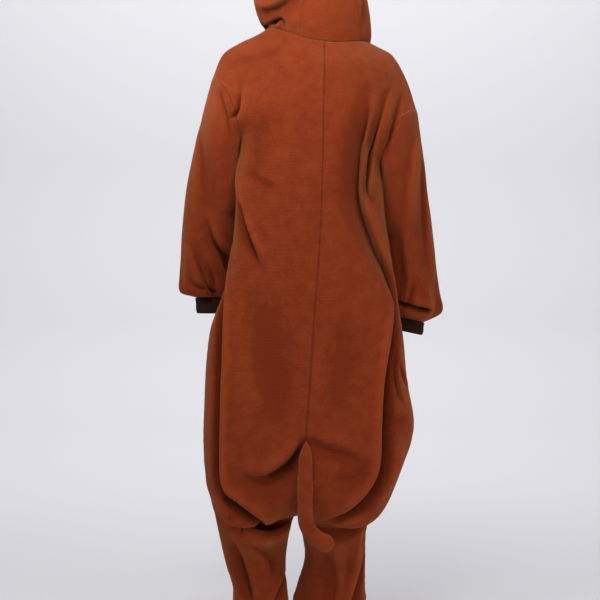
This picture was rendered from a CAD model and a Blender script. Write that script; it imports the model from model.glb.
"""The looks of the hooded fleece onesie, built finely over the same cut pieces as its solids.

Tables and lengths are in millimetres until a mesh is made. +Z is up, the front faces -Y and the wearer's
left is +X.
"""

import bpy
import numpy as np
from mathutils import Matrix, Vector


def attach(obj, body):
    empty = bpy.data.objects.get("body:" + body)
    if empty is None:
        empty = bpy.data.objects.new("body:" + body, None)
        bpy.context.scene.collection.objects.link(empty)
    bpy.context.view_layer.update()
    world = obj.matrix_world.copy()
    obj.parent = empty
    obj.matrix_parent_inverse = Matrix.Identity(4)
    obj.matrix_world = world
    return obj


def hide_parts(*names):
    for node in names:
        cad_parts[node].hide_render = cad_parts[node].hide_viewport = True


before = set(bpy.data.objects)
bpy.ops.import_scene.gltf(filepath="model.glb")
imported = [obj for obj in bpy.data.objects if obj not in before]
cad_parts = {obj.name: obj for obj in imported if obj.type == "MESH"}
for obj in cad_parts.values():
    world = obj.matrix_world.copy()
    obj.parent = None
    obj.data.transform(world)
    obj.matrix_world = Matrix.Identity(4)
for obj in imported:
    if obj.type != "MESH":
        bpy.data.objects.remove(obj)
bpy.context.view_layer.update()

# ---- The four body panels ----
# Polar fleece, cut as a left and a right back and a left and a right front, sewn down the middle, the sides
# and the inside of the legs. The loose body hangs from the shoulders and its low crotch sags over the
# narrow legs.

CLOTH = 3.0
BACK_COLUMNS = 124
FRONT_COLUMNS = 64
# How far down a panel these places lie, where 0 is the neck seam and 13 the ankle.
SHOULDER_TIP, UNDERARM, CROTCH = 2, 4, 10


def table(names, *rows):
    """Named columns of numbers: a row for each section, given along its place in the column called at."""
    return dict(zip(names.split(), np.array(rows, float).T))


def read(rows, at):
    """The columns of a table at places along it: a cubic whose slope at each row follows its two
    neighbours."""
    at = np.asarray(at, float)
    key = rows["at"]
    last = len(key) - 1
    i = np.clip(np.searchsorted(key, at, side="left") - 1, 0, last - 1)
    before, after = np.maximum(i - 1, 0), np.minimum(i + 2, last)
    span = key[i + 1] - key[i]
    f = np.clip((at - key[i]) / span, 0, 1)
    out = {}
    for name, value in rows.items():
        leave = (value[i + 1] - value[before]) / (key[i + 1] - key[before]) * span
        arrive = (value[after] - value[i]) / (key[after] - key[i]) * span
        out[name] = (
            value[i] * (2 * f**3 - 3 * f**2 + 1)
            + value[i + 1] * (3 * f**2 - 2 * f**3)
            + leave * (f**3 - 2 * f**2 + f)
            + arrive * (f**3 - f**2)
        )
    return out


def smooth(x, low=0.0, high=1.0):
    """0 below low and 1 above high, with the cubic 3t^2 - 2t^3 between them."""
    t = np.clip((np.asarray(x, float) - low) / (high - low), 0, 1)
    return t * t * (3 - 2 * t)


def vectors(*parts):
    """Puts arrays of x, y and z together as points, or of any parts as rows."""
    return np.stack(np.broadcast_arrays(*parts), axis=-1)


def place(row):
    """The points that the columns x, y and z of a table give."""
    return vectors(row["x"], row["y"], row["z"])


def unit(v):
    """Each vector over its own length."""
    return v / np.maximum(np.linalg.norm(v, axis=-1, keepdims=True), 1e-9)


# The arches of the hood, from the neck seam at 0 to the face edge at 1. Each is a leaning half ellipse.
HOOD = table(
    "at x y z half depth lean left right saddle roll turn",
    [0.0, -17, -8, -28, 122, 82, 19, 180, 180, 46, 0.15, 0],
    [0.1, -12, -3, 6, 131, 96, 17, 158, 165, 31, 0.12, 3],
    [0.25, -3, 4, 58, 137, 106, 16, 126, 136, 12, 0.06, 8],
    [0.45, 6, 6, 118, 137, 112, 22, 110, 120, 0, 0.02, 11],
    [0.65, 8, -14, 158, 138, 122, 47, 102, 108, 0, 0, 12],
    [0.82, 8, -45, 172, 136, 128, 70, 97, 100, 0, 0, 12],
    [1.0, 7, -84, 170, 128, 128, 90, 94, 95, 0, 0, 12],
)
NECK_BACK_ANGLE, NECK_FRONT_ANGLE = -5.6, 180.0


def hood_point(at, neck_angle):
    """The ellipse half x sin, depth x cos in each arch's leaning plane, then its saddle, roll and turn."""
    arch = read(HOOD, at)
    edge = np.where(neck_angle > 0, arch["left"], arch["right"])
    angle = np.radians(neck_angle * edge / NECK_FRONT_ANGLE)
    lean, turn = np.radians(arch["lean"]), np.radians(arch["turn"])
    across, reach = arch["half"] * np.sin(angle), arch["depth"] * np.cos(angle)
    x, y = across, reach * np.cos(lean)
    z = reach * np.sin(lean) + arch["saddle"] * np.sin(angle) ** 2 + arch["roll"] * across
    return vectors(x * np.cos(turn) - y * np.sin(turn), x * np.sin(turn) + y * np.cos(turn), z) + place(arch)


# An arm: the shoulder tip and the underarm of its armhole seam, the rings of its sleeve and those of its
# cuff.
LEFT_ARM = dict(
    side=1,
    tip=np.array([240, 5, -84], float),
    pit=np.array([178, 5, -250], float),
    rings=table(
        "at x y z wide deep tip",
        [0.0, 209, 5, -167, 88.6, 78, 69.5],
        [0.12, 215, 2, -212, 88, 76, 65],
        [0.25, 224, -6, -262, 81, 72, 56],
        [0.4, 234, -22, -332, 75, 68, 39],
        [0.55, 245, -44, -402, 69, 66, 20],
        [0.7, 256, -64, -486, 64, 65, 8],
        [0.84, 261, -82, -556, 59, 62, 1],
        [0.94, 260, -90, -592, 55, 58, -2],
        [1.0, 252, -90, -606, 33, 33, 0],
    ),
    cuff=table(
        "at x y z wide deep tip",
        [0, 252, -90, -606, 33, 33, 0],
        [0.5, 251, -91, -624, 33.5, 33.5, 0],
        [1, 250, -92, -645, 32, 32, 0],
    ),
)
RIGHT_ARM = dict(
    side=-1,
    tip=np.array([-252, 5, -161], float),
    pit=np.array([-166, 5, -305], float),
    rings=table(
        "at x y z wide deep tip",
        [0.0, -209, 5, -233, 83.8, 78, 59.1],
        [0.12, -214, 2, -276, 84, 76, 57],
        [0.25, -217, -6, -322, 78, 72, 50],
        [0.4, -222, -22, -385, 68, 68, 36],
        [0.55, -234, -44, -446, 61, 65, 21],
        [0.7, -245, -62, -520, 58, 63, 10],
        [0.84, -252, -78, -598, 56, 61, 3],
        [0.94, -256, -84, -640, 54, 57, -3],
        [1.0, -243, -86, -660, 33, 33, -12],
    ),
    cuff=table(
        "at x y z wide deep tip",
        [0, -243, -86, -660, 33, 33, -12],
        [0.5, -242, -87, -674, 33.5, 33.5, -12],
        [1, -240, -88, -692, 32, 32, -12],
    ),
)


def armhole_point(arm, angle):
    """The armhole seam: a ring from shoulder tip to underarm, bowed in towards the neck, more at the back."""
    lengthwise = arm["tip"] - arm["pit"]
    outward = unit(arm["side"] * np.array([lengthwise[2], 0, -lengthwise[0]]))
    deep = np.sin(angle)
    bow = np.where(deep > 0, 26, 14) * np.abs(deep)
    middle = (arm["tip"] + arm["pit"]) / 2 + 0.5 * np.cos(angle)[..., None] * lengthwise
    return middle + vectors(0 * deep, 78 * deep, 0 * deep) - bow[..., None] * outward


# The centre seams, and each half's shoulder, side and inside leg seams, by the same places down the body.
CENTRE_BACK = table(
    "at x y z",
    [0, -29, 69, -1],
    [1, -29, 96, -50],
    [2, -28, 112, -103],
    [3, -26, 120, -176],
    [4, -25, 121, -258],
    [5, -19, 111, -450],
    [6, -1, 127, -690],
    [7, 13, 157, -895],
    [8, 25, 171, -1028],
    [8.6, 31, 160, -1086],
    [9, 35, 130, -1110],
    [9.5, 38, 72, -1116],
    [10, 39, 15, -1118],
)
CENTRE_FRONT = table(
    "at x y z",
    [0, -17, -85, -60],
    [1, -18, -104, -98],
    [2, -19, -119, -140],
    [3, -21, -129, -205],
    [4, -22, -133, -275],
    [5, -18, -135, -455],
    [6, -1, -141, -690],
    [7, 13, -144, -900],
    [8, 25, -138, -1028],
    [8.6, 31, -122, -1080],
    [9, 35, -96, -1106],
    [9.5, 38, -45, -1120],
    [10, 39, 15, -1118],
)
LEFT = dict(
    side=1,
    arm=LEFT_ARM,
    shoulder=table(
        "at x y z",
        [0, 105, -8, 36],
        [0.5, 140, 0, 19],
        [1, 175, 4, 3],
        [1.5, 215, 6, -25],
        [2, 240, 5, -84],
    ),
    seam=table(
        "at x y z",
        [4, 178, 5, -250],
        [4.3, 174, 11, -292],
        [4.6, 180, 20, -362],
        [5, 186, 28, -450],
        [5.5, 205, 32, -575],
        [6, 243, 34, -690],
        [7, 257, 34, -890],
        [8, 257, 30, -985],
        [8.6, 254, 26, -1020],
        [9, 252, 22, -1045],
        [9.5, 244, 16, -1078],
        [10, 234, 10, -1115],
        [10.4, 226, 6, -1155],
        [11, 208, 2, -1237],
        [12, 190, -4, -1300],
        [12.6, 187, -7, -1345],
        [13, 161, -8, -1378],
    ),
    inseam=table(
        "at x y z",
        [10, 39, 15, -1118],
        [10.4, 49, 12, -1145],
        [11, 63, 2, -1225],
        [12, 60, -6, -1300],
        [12.6, 58, -8, -1345],
        [13, 75, -8, -1378],
    ),
)
RIGHT = dict(
    side=-1,
    arm=RIGHT_ARM,
    shoulder=table(
        "at x y z",
        [0, -139, -8, 0],
        [0.5, -168, 0, -10],
        [1, -197, 4, -30],
        [1.5, -229, 6, -90],
        [2, -252, 5, -161],
    ),
    seam=table(
        "at x y z",
        [4, -166, 5, -305],
        [4.3, -163.5, 12, -345],
        [4.6, -168, 22, -394],
        [5, -180, 28, -460],
        [5.5, -199, 30, -585],
        [6, -216, 32, -700],
        [6.5, -225, 34, -800],
        [7, -241, 34, -892],
        [7.5, -236, 32, -945],
        [8, -222, 30, -985],
        [8.6, -206, 26, -1022],
        [9, -192, 22, -1048],
        [9.5, -168, 16, -1085],
        [10, -154, 10, -1120],
        [10.4, -133, 6, -1152],
        [11, -128, 2, -1237],
        [12, -127, -5, -1300],
        [12.6, -126, -8, -1345],
        [13, -83, -8, -1378],
    ),
    inseam=table(
        "at x y z",
        [10, 39, 15, -1118],
        [10.4, 29, 12, -1145],
        [11, 17, 2, -1222],
        [12, 36, -6, -1298],
        [12.6, 44, -8, -1345],
        [13, 3, -8, -1378],
    ),
)
# How a row leaves the centre seam and comes to the side seam, and how far its middle hangs down.
BACK_ROWS = table(
    "at heading leave arrive inward rise sag",
    [0, 0, 60, 50, 0.4, -0.3, 0],
    [1, 0, 105, 62, 0.4, -0.45, 0],
    [1.6, 0, 125, 66, 0.4, -0.3, 0],
    [2, 0, 125, 60, 1, -0.2, 0],
    [3, 0, 100, 55, 2.2, 0, 0],
    [3.6, 0, 100, 60, 1, 0.1, 0],
    [4, 0, 112, 76, 0.15, 0.1, 0],
    [5, 0, 120, 66, 0, 0, 0],
    [6, 0, 148, 76, 0, 0, 0],
    [7, 0, 165, 92, 0, 0, 0],
    [8, 0, 160, 106, 0, 0, -22],
    [8.6, 0, 145, 108, 0, 0, -44],
    [9, 10, 125, 100, 0, 0, -56],
    [9.5, 52, 62, 84, 0, 0, -26],
    [10, 90, 76, 76, 0, 0, -32],
    [10.4, 90, 108, 108, 0, 0, -32],
    [11, 90, 86, 86, 0, 0, 0],
    [12, 90, 84, 84, 0, 0, 0],
    [12.6, 90, 84, 84, 0, 0, 0],
    [13, 90, 57.3, 57.3, 0, 0, 0],
)
FRONT_ROWS = table(
    "at heading leave arrive inward rise sag",
    [0, 0, 60, 50, 0.3, -0.3, 0],
    [1, 0, 95, 62, 0.3, -0.4, 0],
    [2, 0, 120, 62, 1.1, -0.2, 0],
    [3, 0, 100, 60, 2.2, 0, 0],
    [3.6, 0, 105, 64, 1, 0.1, 0],
    [4, 0, 115, 80, 0.15, 0.1, 0],
    [4.5, 0, 115, 82, 0.26, 0.05, 0],
    [5, 0, 115, 84, 0.14, 0, 0],
    [6, 0, 138, 94, 0, 0, 0],
    [7, 0, 155, 98, 0, 0, 0],
    [8, 0, 152, 98, 0, 0, -16],
    [8.6, 0, 140, 92, 0, 0, -30],
    [9, 15, 120, 86, 0, 0, -36],
    [9.5, 60, 78, 82, 0, 0, -22],
    [10, 90, 94, 94, 0, 0, -24],
    [10.4, 90, 104, 104, 0, 0, -22],
    [11, 90, 94, 94, 0, 0, 0],
    [12, 90, 90, 90, 0, 0, 0],
    [12.6, 90, 88, 88, 0, 0, 0],
    [13, 90, 57.3, 57.3, 0, 0, 0],
)


def panel_point(half, face, at, across):
    """Each row is a cubic from the centre seam to the side. The first rows blend into the neck seam."""
    row = {name: value[:, None] for name, value in read(face["rows"], at).items()}
    centre = np.where(
        (at <= CROTCH)[:, None], place(read(face["centre"], at)), place(read(half["inseam"], at))
    )
    turned = np.pi * (at - SHOULDER_TIP) / (UNDERARM - SHOULDER_TIP)
    side = np.where(
        (at < SHOULDER_TIP)[:, None], place(read(half["shoulder"], at)), place(read(half["seam"], at))
    )
    on_arm = (at >= SHOULDER_TIP) & (at <= UNDERARM)
    side = np.where(on_arm[:, None], armhole_point(half["arm"], face["side"] * turned), side)
    heading = np.radians(row["heading"])
    leaving = np.concatenate(
        [half["side"] * np.cos(heading), face["side"] * np.sin(heading), 0 * heading], axis=1
    )
    back = unit(
        np.concatenate([-half["side"] * row["inward"], face["side"] + 0 * heading, row["rise"]], axis=1)
    )
    handles = [centre, centre + leaving * row["leave"], side + back * row["arrive"], side]

    def cubic(ends, t):
        """The four handles, weighted r^3, 3r^2t, 3rt^2 and t^3, where r is 1 - t."""
        rest = 1 - t[..., None]
        t = t[..., None]
        a, b, c, d = (end[:, None] for end in ends)
        return a * rest**3 + 3 * b * rest**2 * t + 3 * c * rest * t**2 + d * t**3

    t = np.broadcast_to(across, (len(at), len(across)))
    point = cubic(handles, t)
    point[..., 2] += (4 * (1 - t) * t) ** 2 * row["sag"]
    start_angle = NECK_BACK_ANGLE if face["side"] > 0 else half["side"] * NECK_FRONT_ANGLE
    neck_angle = start_angle + (half["side"] * 90 - start_angle) * across
    neck = hood_point(np.zeros(len(across)), neck_angle)
    left = (1 - smooth(at, 0, 1.2))[:, None, None]
    return point + left * (neck - point[0])


def spaced(low, high, count, close=()):
    """Even steps, and a few more close to both ends, where the cloth turns into its seam."""
    even = np.linspace(low, high, count + 1)
    return np.unique(np.round(np.concatenate([even, low + np.array(close), high - np.array(close)]), 9))


body_at = np.concatenate(
    [
        spaced(0, 1, 8, [0.03, 0.07]),
        spaced(1, 2, 12)[1:],
        spaced(2, 4, 60)[1:],
        spaced(4, 7, 104, [0.012])[1:],
        spaced(7, 8, 22)[1:],
        spaced(8, 9, 22)[1:],
        spaced(9, 10, 28)[1:],
        spaced(10, 11, 24)[1:],
        spaced(11, 13, 36, [0.02, 0.05])[1:],
    ]
)
back_across = spaced(0, 1, BACK_COLUMNS, [0.004]) ** 0.85
front_across = spaced(0, 1, FRONT_COLUMNS, [0.004, 0.008])
BACK = dict(side=1, centre=CENTRE_BACK, rows=BACK_ROWS)
FRONT = dict(side=-1, centre=CENTRE_FRONT, rows=FRONT_ROWS)
# Each sheet is a grid of points. out is 1 where column direction x row direction points out of the garment.
sheets = {}


def add_sheet(name, points, out, wrap=False, group="body"):
    """Keeps a piece's grid, with whether its columns close in a ring and which pieces its creases run
    over."""
    sheets[name] = dict(points=points, out=out, wrap=wrap, group=group)


EASING_PASSES = 160


def eased(points, across):
    """Rounds the turns that the rows make at the shoulder tip and the underarm, less so close to the
    armhole: each pass moves a point part of the way to the middle of its neighbours above and below."""
    turns = (
        np.exp(-(((body_at - SHOULDER_TIP - 0.05) / 0.42) ** 2))
        + np.exp(-(((body_at - UNDERARM) / 0.45) ** 2))
    )
    share = turns[1:-1, None] * smooth(1 - across, 0, 0.14)
    for _ in range(EASING_PASSES):
        points[1:-1] += 0.5 * share[..., None] * (points[:-2] + points[2:] - 2 * points[1:-1])
    return points


for half in (LEFT, RIGHT):
    for face, across, word in ((BACK, back_across, "back"), (FRONT, front_across, "front")):
        name = f"{word}_{'left' if half['side'] > 0 else 'right'}"
        add_sheet(name, eased(panel_point(half, face, body_at, across), across), half["side"] * face["side"])

# ---- The two sleeves ----
# One piece of fleece each, closed into a tube, set into a low armhole and gathered at the wrist into its
# cuff, above which it puffs out.

at_armhole = body_at[(body_at >= SHOULDER_TIP) & (body_at <= UNDERARM)]
arm_angles = np.pi * (at_armhole - SHOULDER_TIP) / (UNDERARM - SHOULDER_TIP)
arm_angles = np.concatenate([arm_angles, 2 * np.pi - arm_angles[-2:0:-1]])
sleeve_at = spaced(0, 1, 110, [0.002, 0.005])
# How far the gathers swell, and how deep the elbow is dented.
GATHER, ELBOW = 5.5, 7


def sleeve_point(arm, at, angle):
    """Tilted rings, wide x cos and deep x sin, that start on the armhole seam, with gathers, as two cosines
    around, that swell above the cuff, and a dent at the bend of the elbow."""
    row = {name: value[:, None] for name, value in read(arm["rings"], at).items()}
    lift = np.radians(row["tip"])
    centre = place(row)
    across = vectors(arm["side"] * np.cos(lift), 0 * lift, np.sin(lift))
    ring = centre + across * (row["wide"] * np.cos(angle))[..., None]
    ring = ring + np.array([0, 1, 0]) * (row["deep"] * np.sin(angle))[..., None]
    seam = armhole_point(arm, angle)[None]
    point = ring + (seam - ring) * (1 - smooth(at, 0, 0.3))[:, None, None]
    gathered = (smooth(at, 0.7, 0.93) * (1 - smooth(at, 0.93, 1)))[:, None]
    uneven = 1 + 0.4 * np.sin(2 * angle + 1)
    sharp = np.cos(7 * angle + arm["side"]) + 0.35 * np.cos(13 * angle + 2 * arm["side"])
    wave = GATHER * gathered * uneven * sharp
    elbow = (
        -ELBOW
        * np.exp(-(((at[:, None] - 0.5 - 0.06 * np.sin(angle)) / 0.05) ** 2))
        * np.maximum(0, -np.cos(angle))
    )
    return point + unit(point - centre) * (wave + elbow)[..., None]


for arm, side in ((LEFT_ARM, "left"), (RIGHT_ARM, "right")):
    points = sleeve_point(arm, sleeve_at, arm_angles)
    add_sheet(f"sleeve_{side}", points, -arm["side"], wrap=True, group=f"sleeve_{side}")

# ---- The hood ----
# Three pieces of the same fleece: a left side, a strip over the middle and a right side, with two long
# seams between them. It is sewn to the neck seam and open at the face.

neck_angles = np.concatenate(
    [
        180 - 90 * front_across[:-1],
        (NECK_BACK_ANGLE + (90 - NECK_BACK_ANGLE) * back_across)[::-1],
        (NECK_BACK_ANGLE + (-90 - NECK_BACK_ANGLE) * back_across)[1:-1],
        (-180 + 90 * front_across)[::-1],
    ]
)
hood_at = spaced(0, 1, 84, [0.004, 0.01])
strip_left = NECK_BACK_ANGLE + (90 - NECK_BACK_ANGLE) * 4 / 14
strip_right = NECK_BACK_ANGLE + (-90 - NECK_BACK_ANGLE) * 8 / 14
# extra columns beside the long seams, and how near the neck's own columns may come to a seam, in degrees
near_strip = np.array([0.4, 0.9, 1.8])
STRIP_CLEAR = 2.2
for name, high, low in (
    ("hood_left", 180, strip_left),
    ("hood_centre", strip_left, strip_right),
    ("hood_right", strip_right, -180),
):
    inside = neck_angles[(neck_angles < high - STRIP_CLEAR) & (neck_angles > low + STRIP_CLEAR)]
    angles = np.concatenate([[high], high - near_strip, inside, (low + near_strip)[::-1], [low]])
    add_sheet(name, hood_point(hood_at[:, None], angles[None]), 1, group="hood")


# ---- The fall of the cloth: shared edges and creases ----
# Sheets that are sewn together share the direction that points out of the garment along their seam, so that
# no gap opens there. The creases are the folds that the hanging fleece falls into, laid one by one.


def corner_indices(rows, columns, wrap):
    """The four corners of every face of a grid, counted row by row."""
    r = np.arange(rows - 1)[:, None]
    c = np.arange(columns if wrap else columns - 1)[None]
    following = (c + 1) % columns
    a, b, d, e = (
        r * columns + c, r * columns + following, (r + 1) * columns + following, (r + 1) * columns + c
    )
    return np.stack([x.ravel() for x in (a, b, d, e)], axis=1)


def sewn_normals():
    """Adds up the corner-angle weighted triangle normals at each place, over all the sheets that meet
    there."""
    points, faces, count = [], [], 0
    for sheet in sheets.values():
        rows, columns = sheet["points"].shape[:2]
        quads = corner_indices(rows, columns, sheet["wrap"])
        if sheet["out"] < 0:
            quads = quads[:, ::-1]
        points.append(sheet["points"].reshape(-1, 3))
        faces.append(quads + count)
        count += rows * columns
    points, faces = np.concatenate(points), np.concatenate(faces)
    key = np.round((points + 0.00713) * 50).astype(int)
    _, where = np.unique(key, axis=0, return_inverse=True)
    where = where.ravel()
    sums = np.zeros((where.max() + 1, 3))
    for k in range(4):
        here, left, right = (points[faces[:, i % 4]] for i in (k, k + 1, k + 3))
        u, v = unit(left - here), unit(right - here)
        weight = np.arccos(np.clip((u * v).sum(1), -1, 1))[:, None]
        np.add.at(sums, where[faces[:, k]], unit(np.cross(u, v)) * weight)
    shared = unit(sums)[where]
    start = 0
    for sheet in sheets.values():
        rows, columns = sheet["points"].shape[:2]
        sheet["normals"] = shared[start : start + rows * columns].reshape(rows, columns, 3)
        start += rows * columns


sewn_normals()
# the hood's edge is turned in along the same direction as the neck edge it is sewn to
neck, neck_out = (
    np.concatenate([sheets[name][k][0] for name in list(sheets)[:4]]) for k in ("points", "normals")
)
for name in ("hood_left", "hood_centre", "hood_right"):
    nearest = ((sheets[name]["points"][0][:, None] - neck[None]) ** 2).sum(2).argmin(1)
    sheets[name]["normals"][0] = neck_out[nearest]
for sheet in sheets.values():
    sheet["height"] = np.zeros(sheet["points"].shape[:2])
    sheet["groove"] = np.zeros(sheet["points"].shape[:2])


def free_of_seams(sheet, group):
    """0 on the seams to other groups' sheets, and 1 from 11 mm away: a crease of one group fades before
    them."""
    seams = [s["points"][[0, -1]].reshape(-1, 3) for s in sheets.values() if s["group"] != group]
    seams = np.concatenate(seams)[::2]
    corners = sheet["points"].reshape(-1, 3)
    nearest = np.full(len(corners), 1e9)
    low, high = seams.min(0) - 30, seams.max(0) + 30
    close = np.where(np.all((corners > low) & (corners < high), axis=1))[0]
    for part in np.array_split(close, max(1, len(close) // 4000)):
        nearest[part] = np.sqrt(((corners[part][:, None] - seams[None]) ** 2).sum(2).min(1))
    return smooth(nearest, 0.5, 11).reshape(sheet["points"].shape[:2])


for sheet in sheets.values():
    sheet["free"] = free_of_seams(sheet, sheet["group"])
    sheet["slide"] = np.zeros(sheet["points"].shape)
    sheet["fold"] = np.zeros(sheet["points"].shape[:2])


# A crease's lip: its height as a share of the depth, and its place and width in narrow widths of the
# crease. Then how far the lip leans over: a share of the depth, at most so many narrow widths, then where
# and how wide. A crease is pushed along a direction turned from the cloth's own towards the side it is seen
# from, and one narrower than a fold's width holds the nap closed.
LIP, LIP_AT, LIP_WIDTH = 0.22, 2.1, 1.2
LEAN, LEAN_MOST, LEAN_AT, LEAN_WIDTH = 0.45, 1.1, 1.7, 1.0
PULL, FOLD_WIDTH = 0.9, 10


def crease(groups, facing, *rows):
    """A soft trough along a line over the cloth, seen from the back (facing 1) or the front (-1). left and
    right are its widths w on each side of the line. The trough is depth x exp(-(s/w)^2), or a ridge where
    depth is negative. Its steeper side stands up in a lip that leans over it."""
    # a smooth line through the rows, laid on the cloth that is seen from that side
    line = table("x z depth left right", *rows)
    line["at"] = np.arange(len(rows), dtype=float)
    here = [s for s in sheets.values() if s["group"] in groups.split()]
    points = np.concatenate([s["points"].reshape(-1, 3) for s in here])
    normals = np.concatenate([s["normals"].reshape(-1, 3) for s in here])
    samples = read(line, np.linspace(0, len(rows) - 1, 14 * (len(rows) - 1) + 1))
    seen = np.where(normals[:, 1] * facing > 0.05)[0]
    flat = vectors(samples["x"], samples["z"])
    away = ((points[seen][:, [0, 2]][None] - flat[:, None]) ** 2).sum(2)
    y = points[seen[away.argmin(1)], 1]
    for _ in range(3):
        y = np.convolve(np.pad(y, 2, mode="edge"), np.ones(5) / 5, mode="valid")
    path = vectors(samples["x"], y, samples["z"])
    along = unit(np.gradient(path, axis=0))
    # the nearest place on the line to each point, and how far off it the point lies
    reach = 3 * max(samples["left"].max(), samples["right"].max())
    near = np.where(np.all((points > path.min(0) - reach) & (points < path.max(0) + reach), axis=1))[0]
    nearest = np.array([], int)
    for part in np.array_split(near, max(1, len(near) // 20000)):
        nearest = np.append(nearest, ((points[part][:, None] - path[None]) ** 2).sum(2).argmin(1))
    off = points[near] - path[nearest]
    lengthwise = (off * along[nearest]).sum(1)
    rightward = unit(np.cross(along[nearest], normals[near]))
    sideways = (off * rightward).sum(1)
    distance = np.sqrt(np.maximum((off**2).sum(1) - lengthwise**2, 0))
    # the trough, the lip of its steeper side and how far that lip leans over
    left, right = samples["left"][nearest], samples["right"][nearest]
    narrow = np.minimum(left, right)
    steep_side = np.clip((left - right) / (0.4 * narrow), -1, 1)
    steep = np.where(sideways * steep_side > 0, distance, -distance) / narrow
    width = np.where(sideways > 0, right, left)
    lip = LIP * np.abs(steep_side) * np.exp(-(((steep - LIP_AT) / LIP_WIDTH) ** 2))
    profile = lip - np.exp(-((distance / width) ** 2))
    past_end = np.where((nearest == 0) | (nearest == len(path) - 1), np.abs(lengthwise), 0)
    depth = samples["depth"][nearest] * np.exp(-((past_end / narrow) ** 2))
    lean = np.minimum(LEAN * np.maximum(depth, 0), LEAN_MOST * narrow)
    lean = lean * np.exp(-(((steep - LEAN_AT) / LEAN_WIDTH) ** 2))
    inward = unit(normals[near] + np.array([0, PULL * facing, 0])) - normals[near]
    # what the crease adds to each point: height, slide in x, y and z, and how deep a narrow fold it lies in
    change = np.zeros((len(points), 5))
    change[near, 0] = depth * profile
    change[near, 1:4] = inward * (depth * profile)[:, None] - rightward * (lean * steep_side)[:, None]
    change[near, 4] = np.where(narrow < FOLD_WIDTH, depth * np.exp(-((distance / (1.3 * narrow)) ** 2)), 0)
    start = 0
    for s in here:
        size = s["height"].size
        fade = s["free"] if len(groups.split()) == 1 else np.ones_like(s["free"])
        part = change[start : start + size].reshape(*s["height"].shape, 5) * fade[..., None]
        s["height"] += part[..., 0]
        s["slide"] += part[..., 1:4]
        s["fold"] = np.maximum(s["fold"], part[..., 4])
        start += size


# The back: the long fold from the right shoulder blade down to the hanging seat, and the two folds beside it.
crease("body", 1, [-133, -100, 0, 12, 30], [-130, -156, 9, 10, 36], [-130, -193, 15, 8, 38],
    [-118, -284, 24, 6, 40], [-113, -355, 30, 6, 38], [-120, -402, 32, 7, 34], [-134, -443, 32, 8, 30],
    [-148, -481, 30, 8, 26], [-166, -520, 28, 8, 22], [-182, -551, 25, 8, 20], [-192, -588, 18, 9, 18],
    [-200, -630, 0, 10, 14])
crease("body", 1, [-184, -108, 0, 8, 11], [-173, -142, 7, 7, 12], [-158, -201, 13, 6, 13],
    [-147, -247, 18, 5, 13], [-140, -282, 21, 5, 12], [-134, -331, 20, 5, 11], [-133, -359, 16, 5, 10],
    [-140, -392, 0, 6, 9])
crease("body sleeve_right", 1, [-214, -116, 0, 8, 7], [-200, -166, 9, 8, 7], [-186, -214, 12, 7, 6],
    [-178, -250, 8, 7, 6], [-176, -280, 0, 7, 6])
# The edges of the hanging seat: it falls over the cloth of the sides and, at its foot, over the legs.
crease("body", 1, [-192, -570, 0, 16, 8], [-193, -636, 20, 18, 7], [-187, -696, 30, 20, 7],
    [-176, -760, 36, 22, 7], [-168, -820, 38, 22, 7], [-163, -911, 40, 22, 7], [-160, -984, 40, 22, 7],
    [-148, -1028, 38, 22, 8], [-124, -1064, 34, 20, 8], [-94, -1092, 26, 16, 8], [-64, -1110, 14, 14, 8],
    [-24, -1124, 0, 12, 8])
crease("body", 1, [190, -462, 0, 7, 9], [194, -505, 20, 6, 10], [200, -552, 28, 6, 11],
    [207, -606, 34, 6, 12], [212, -682, 38, 6, 13], [214, -775, 38, 6, 13], [216, -867, 40, 6, 13],
    [217, -982, 42, 6, 14], [215, -1028, 42, 7, 14], [202, -1062, 40, 8, 15], [171, -1084, 34, 8, 16],
    [130, -1114, 24, 8, 17], [98, -1132, 12, 8, 15], [64, -1134, 0, 8, 12])
crease("body", 1, [228, -1060, 0, 22, 16], [214, -1100, -10, 22, 18], [198, -1130, -17, 20, 20],
    [172, -1150, -19, 15, 24], [138, -1164, -16, 11, 20], [104, -1170, -13, 10, 18], [72, -1163, -10, 10, 16],
    [46, -1142, 0, 10, 14])
# The diagonal fold at the waist, and the cloth rolled over at the left armhole.
crease("body", 1, [178, -372, 0, 7, 14], [168, -396, 14, 6, 15], [156, -440, 26, 6, 18],
    [140, -484, 26, 6, 18], [125, -523, 8, 7, 15], [116, -548, 0, 8, 12])
crease("body sleeve_left", 1, [176, -92, 0, 7, 8], [168, -120, 6, 6, 8], [168, -150, 10, 5, 8],
    [173, -172, 12, 5, 7], [186, -184, 8, 5, 7], [196, -176, 0, 6, 7])
crease("body", 1, [163, -118, 0, 9, 9], [158, -150, -6, 9, 9], [162, -178, -7, 9, 9], [174, -200, -5, 9, 10],
    [184, -218, 0, 9, 10])
# The sides bulge over the insides of the sleeves.
crease("body", 1, [182, -216, 0, 18, 18], [182, -262, -9, 18, 18], [179, -310, -10, 18, 18],
    [174, -352, -9, 17, 18], [170, -396, 0, 16, 16])
crease("body", 1, [-172, -258, 0, 16, 16], [-172, -296, -8, 15, 16], [-172, -340, -9, 15, 16],
    [-178, -392, -6, 15, 16], [-184, -440, 0, 15, 15])
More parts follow.
